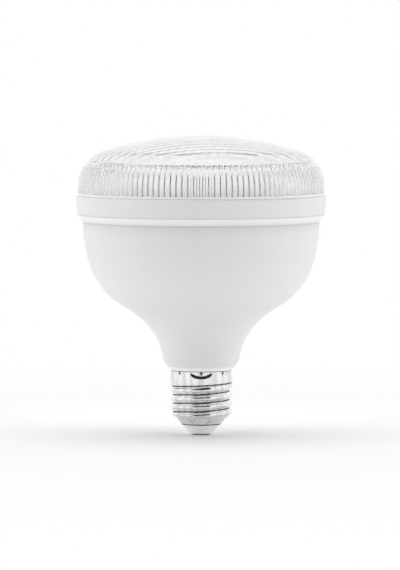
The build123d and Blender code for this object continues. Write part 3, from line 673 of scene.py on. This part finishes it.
shoulder_radius = cover_high.x - SHOULDER_RADIUS
dome_middle = cover_high.z - DOME_RADIUS
shoulder_level = dome_middle + sqrt((DOME_RADIUS - SHOULDER_RADIUS) ** 2 - shoulder_radius**2)
dome_angle = asin(shoulder_radius / (DOME_RADIUS - SHOULDER_RADIUS))
rib_foot = RIM_LEVEL + RIB_BASE
inner_arc = SHOULDER_RADIUS - COVER_WALL
tooth_angle = RIB_END_ANGLE - TOOTH_LENGTH / inner_arc
plain_angle = RIB_END_ANGLE + TOOTH_LEAN / inner_arc


def round_ring(radius, level, sides):
    """Points evenly round the lamp's axis."""
    return [(radius * cos(2 * pi * s / sides), radius * sin(2 * pi * s / sides), level) for s in range(sides)]


def shoulder_point(inset, angle):
    """Radius and level on the shoulder's arc, moved in by inset, at an angle above the horizon."""
    arc = SHOULDER_RADIUS - inset
    return shoulder_radius + arc * cos(angle), shoulder_level + arc * sin(angle)


def dome_point(inset, angle):
    """Radius and level on the dome, moved in by inset, at an angle from the axis."""
    arc = DOME_RADIUS - inset
    return arc * sin(angle), dome_middle + arc * cos(angle)


def rib_ring(angle, depth, breadth=1.0, level=None):
    """A ring of round ribs of that depth at an angle up the shoulder, or at a level on the wall below."""
    ring = []
    for side in range(COVER_SIDES):
        share = min(1.0, breadth * (0.5 - 0.5 * cos(2 * pi * side / RIB_SIDES)))
        reach, height = shoulder_point(COVER_WALL + RIB_FLOOR + depth * share, angle)
        turn = 2 * pi * side / COVER_SIDES
        ring.append((reach * cos(turn), reach * sin(turn), height if level is None else level))
    return ring


def ridged_ring(radius, level, strength):
    """A ring of the two crossing sets of straight ridges."""
    ring = []
    for x, y, z in round_ring(radius, level, DOME_SIDES):
        height = 0.5
        for heading, pitch in zip(RIDGE_HEADINGS, RIDGE_PITCHES):
            height += 0.25 * cos(2 * pi * (y * cos(heading) - x * sin(heading)) / pitch)
        ring.append((x, y, z - RIDGE_DEPTH * strength * height))
    return ring


outside = []
for row in range(OUTSIDE_DOME_ROWS):
    outside.append(dome_point(0.0, dome_angle * (row + FIRST_DOME_ROW) / OUTSIDE_DOME_ROWS))
for row in range(OUTSIDE_SHOULDER_ROWS + 1):
    outside.append(shoulder_point(0.0, (pi / 2 - dome_angle) * (1 - row / OUTSIDE_SHOULDER_ROWS)))
outside.append((cover_high.x, rib_foot))
outside.append((cover_high.x, RIM_LEVEL + FOOT_ROUND))
outside.append((cover_high.x - ROUND_MIDDLE * FOOT_ROUND, RIM_LEVEL + ROUND_MIDDLE * FOOT_ROUND))
outside.append((cover_high.x - FOOT_ROUND, RIM_LEVEL))
outside.append((SKIRT_RADIUS, RIM_LEVEL))
for row in range(BEAD_ROWS + 1):
    turn = pi * row / BEAD_ROWS
    outside.append((SKIRT_RADIUS + SNAP_BEAD * sin(turn), SNAP_LEVEL + SNAP_BEAD * cos(turn)))
outside.append((SKIRT_RADIUS, cover_low.z))

cover_rings = [round_ring(radius, level, OUTSIDE_SIDES) for radius, level in outside]
cover_rings.append(round_ring(SKIRT_RADIUS - SKIRT_WALL, cover_low.z, COVER_SIDES))
cover_rings.append(round_ring(SKIRT_RADIUS - SKIRT_WALL, rib_foot, COVER_SIDES))
cover_rings.append(rib_ring(0.0, RIB_DEPTH, level=rib_foot))
for row in range(RIB_ROWS + 1):
    fade = RIB_FADE * smooth_step(FADE_START, 1.0, row / RIB_ROWS)
    cover_rings.append(rib_ring(tooth_angle * row / RIB_ROWS, RIB_DEPTH * (1 - fade)))
cover_rings.append(rib_ring(RIB_END_ANGLE, RIB_DEPTH * (1 - RIB_FADE) + TOOTH_RISE, TOOTH_BREADTH))
for row in range(SHOULDER_ROWS):
    rise = plain_angle + (pi / 2 - dome_angle - plain_angle) * row / SHOULDER_ROWS
    cover_rings.append(ridged_ring(*shoulder_point(COVER_WALL, rise), min(1.0, row / RIDGE_RISE_ROWS)))
for row in range(DOME_ROWS):
    cover_rings.append(ridged_ring(*dome_point(COVER_WALL, dome_angle * (1 - row / DOME_ROWS)), 1.0))
cover_mesh = skin_mesh("clear_prismatic_cover", [cover_rings], COVER_SHARP)


def clear_finish(name, passed, smooth, rough):
    """Clear plastic that passes a share of the light, smoother and rougher in patches. The light of the
    soft boxes goes straight in through it, so that the light board isn't in the dark."""
    finish = Finish(name, COVER_TINT, smooth)
    finish.surface.inputs["IOR"].default_value = COVER_IOR
    finish.surface.inputs["Transmission Weight"].default_value = passed
    finish.vary("Roughness", finish.cloud(0.4), (0.3, smooth), (0.8, rough))
    lamp_ray = put(finish.tree, "LightPath").outputs["Is Shadow Ray"]
    let_in = put(finish.tree, "BsdfTransparent", LAMP_LIGHT_IN).outputs["BSDF"]
    lit_inside = put(finish.tree, "MixShader", lamp_ray, finish.surface.outputs["BSDF"], let_in)
    outlet = finish.tree.nodes["Material Output"]
    finish.tree.links.new(lit_inside.outputs["Shader"], outlet.inputs["Surface"])
    return finish


clear_plastic = clear_finish("clear_plastic", 0.94, 0.06, 0.12)
clear_plastic.surface.inputs["Coat Weight"].default_value = 0.8
clear_plastic.surface.inputs["Coat IOR"].default_value = COVER_IOR
satin_wall = clear_finish("satin_wall", 0.97, 0.15, 0.20)
matt_skirt = Finish("matt_skirt", (0.95, 0.95, 0.95), 0.6)
matt_skirt.vary("Roughness", matt_skirt.cloud(1.0), (0.3, 0.42), (0.7, 0.6))
matt_skirt.relief(matt_skirt.cloud(4.0), 0.02 * MM)

new_piece("clear_prismatic_cover", cover_mesh, clear_plastic, "prismatic_cover")
cover_mesh.materials.append(satin_wall.material)
cover_mesh.materials.append(matt_skirt.material)
satin_top = shoulder_point(COVER_WALL, tooth_angle)[1]
for face in cover_mesh.polygons:
    if face.center.z < rib_foot - HAIR:
        face.material_index = 2
    elif face.center.z < satin_top:
        face.material_index = 1
bpy.context.scene.cycles.max_bounces = 32
bpy.context.scene.cycles.glossy_bounces = 16
bpy.context.scene.cycles.transmission_bounces = 24

# Studio: a white card floor and a white surround, with soft lamp boxes on both sides and overhead. The
# front is dark in the cap's reflections and for the light that the cover's ribs throw back, as a black
# card above the camera makes it. Floor and surround read as plain white past the shadow.

FLOOR_RADIUS = 3.0
FLOOR_SIDES = 96
FLOOR_RINGS = 12
FLOOR_EYE = 0.0001
SHADOW_REACH = (0.10, 0.45)
SURROUND_LEVEL = 0.97
NEAR_WALL_FACES = 2.5
FRONT_LEVEL = 0.02
FRONT_EDGE = (0.0, -0.50)
FRONT_MIDDLE = (0.05, 0.30)
MIDDLE_SHARE = 0.35
FRONT_FLOOR = (-0.20, -0.60)
DARK_LEVEL = 0.03
DARK_SIDES = (0.56, 0.42)
DARK_FOOT = (0.03, 0.11)
DARK_BACK = (-0.10, -0.35)
SOFT_BOX_SIZE = 1.2
SOFT_BOXES = (((-1.3, -0.4, 0.0), 6.2), ((1.3, -0.4, 0.0), 6.2), ((0.0, -0.1, 1.4), 5.4))
CAMERA_DISTANCE = 2.36
CAMERA_ELEVATION = radians(3.1)
CAMERA_LENS = 350.0
CAMERA_REACH = 100.0
AXIS_PIXEL = 201.2
PHOTO_WIDTH = 400
PHOTO_HEIGHT = 570


def thrown_back(tree, ray):
    """One for light that the cover's near wall throws back, which has crossed only that wall's faces."""
    few_faces = reckon(tree, "LESS_THAN", ray["Transmission Depth"], NEAR_WALL_FACES)
    return reckon(tree, "MULTIPLY", few_faces, ray["Is Transmission Ray"])


floor_rings = []
for step in range(FLOOR_RINGS + 1):
    floor_rings.append(round_ring(FLOOR_RADIUS * (FLOOR_EYE + (step / FLOOR_RINGS) ** 2), 0.0, FLOOR_SIDES))
floor = bpy.data.objects.new("floor", grid_mesh("floor", floor_rings))
floor.data.flip_normals()
bpy.context.scene.collection.objects.link(floor)

floor_card = Finish("floor_card", (0.95, 0.95, 0.95), 0.9)
floor.data.materials.append(floor_card.material)
card = floor_card.tree
on_floor = floor_card.spot((MM, MM, MM))
from_lamp = put(card, "VectorMath", on_floor, operation="LENGTH").outputs["Value"]
past_shadow = level_between(card, from_lamp, *SHADOW_REACH, curve="SMOOTHSTEP")
floor_ray = put(card, "LightPath").outputs
seen = reckon(card, "MAXIMUM", floor_ray["Is Camera Ray"], floor_ray["Is Transmission Ray"])
white_share = reckon(card, "MULTIPLY", past_shadow, seen)
in_front = level_between(card, put(card, "SeparateXYZ", on_floor).outputs["Y"], *FRONT_FLOOR)
dim_front = reckon(card, "MULTIPLY", in_front, thrown_back(card, floor_ray))
floor_level = level_between(card, dim_front, 0.0, 1.0, 1.0, FRONT_LEVEL)
plain_white = put(card, "Emission", None, floor_level).outputs["Emission"]
card_face = put(card, "MixShader", white_share, floor_card.surface.outputs["BSDF"], plain_white)
card_back = put(card, "BsdfTransparent").outputs["BSDF"]
under_side = put(card, "NewGeometry").outputs["Backfacing"]
one_sided = put(card, "MixShader", under_side, card_face.outputs["Shader"], card_back)
card.links.new(one_sided.outputs["Shader"], card.nodes["Material Output"].inputs["Surface"])

studio = bpy.data.worlds.new("studio")
bpy.context.scene.world = studio
studio.use_nodes = True
sky = studio.node_tree
heading = put(sky, "SeparateXYZ", put(sky, "TexCoord").outputs["Generated"]).outputs
sight = put(sky, "LightPath").outputs


def sky_step(value, edge):
    """A soft step of the surround, from nought at the edge's start to one at its end."""
    return level_between(sky, value, *edge, curve="SMOOTHSTEP")


back_light = thrown_back(sky, sight)
straight_through = reckon(sky, "SUBTRACT", sight["Is Transmission Ray"], back_light)
not_through = reckon(sky, "SUBTRACT", 1.0, straight_through)
off_middle = reckon(sky, "ABSOLUTE", heading["X"])
dark_column = sky_step(off_middle, DARK_SIDES)
dark_strip = reckon(sky, "MULTIPLY", dark_column, sky_step(heading["Z"], DARK_FOOT))
dark_front = reckon(sky, "MULTIPLY", dark_strip, sky_step(heading["Y"], DARK_BACK))
dark_share = reckon(sky, "MULTIPLY", dark_front, not_through)
past_middle = level_between(sky, off_middle, *FRONT_MIDDLE, MIDDLE_SHARE, 1.0)
front_share = reckon(sky, "MULTIPLY", sky_step(heading["Y"], FRONT_EDGE), past_middle)
through_front = reckon(sky, "MULTIPLY", front_share, back_light)
mirrored = reckon(sky, "MAXIMUM", sight["Is Glossy Ray"], sight["Is Transmission Ray"])
open_level = level_between(sky, mirrored, 0.0, 1.0, SURROUND_LEVEL, 1.0)
side_level = level_between(sky, through_front, 0.0, 1.0, open_level, FRONT_LEVEL)
sky_level = level_between(sky, dark_share, 0.0, 1.0, side_level, DARK_LEVEL)
level_seen = reckon(sky, "MAXIMUM", sky_level, sight["Is Camera Ray"])
sky.nodes["Background"].inputs["Color"].default_value = (1.0, 1.0, 1.0, 1.0)
sky.links.new(level_seen, sky.nodes["Background"].inputs["Strength"])

for box_place, box_power in SOFT_BOXES:
    soft_box = bpy.data.objects.new("soft_box", bpy.data.lights.new("soft_box", "AREA"))
    bpy.context.scene.collection.objects.link(soft_box)
    soft_box.data.size = SOFT_BOX_SIZE
    soft_box.data.energy = box_power
    soft_box.location = box_place
    towards_lamp = Vector((0.0, 0.0, cad_high.z / 2)) - soft_box.location
    soft_box.rotation_euler = towards_lamp.to_track_quat("-Z", "Y").to_euler()
    soft_box.visible_glossy = False
    soft_box.visible_transmission = False

camera = bpy.data.objects.new("camera", bpy.data.cameras.new("camera"))
bpy.context.scene.collection.objects.link(camera)
bpy.context.scene.camera = camera
camera.data.lens = CAMERA_LENS
camera.data.clip_end = CAMERA_REACH
camera.data.shift_x = (PHOTO_WIDTH / 2 - AXIS_PIXEL) / PHOTO_HEIGHT
aim = Vector((0.0, 0.0, (cad_low.z + cad_high.z) / 2))
back = Vector((0.0, -cos(CAMERA_ELEVATION), sin(CAMERA_ELEVATION)))
camera.location = aim + back * CAMERA_DISTANCE
camera.rotation_euler = (-back).to_track_quat("-Z", "Y").to_euler()
bpy.context.scene.view_settings.view_transform = "Standard"
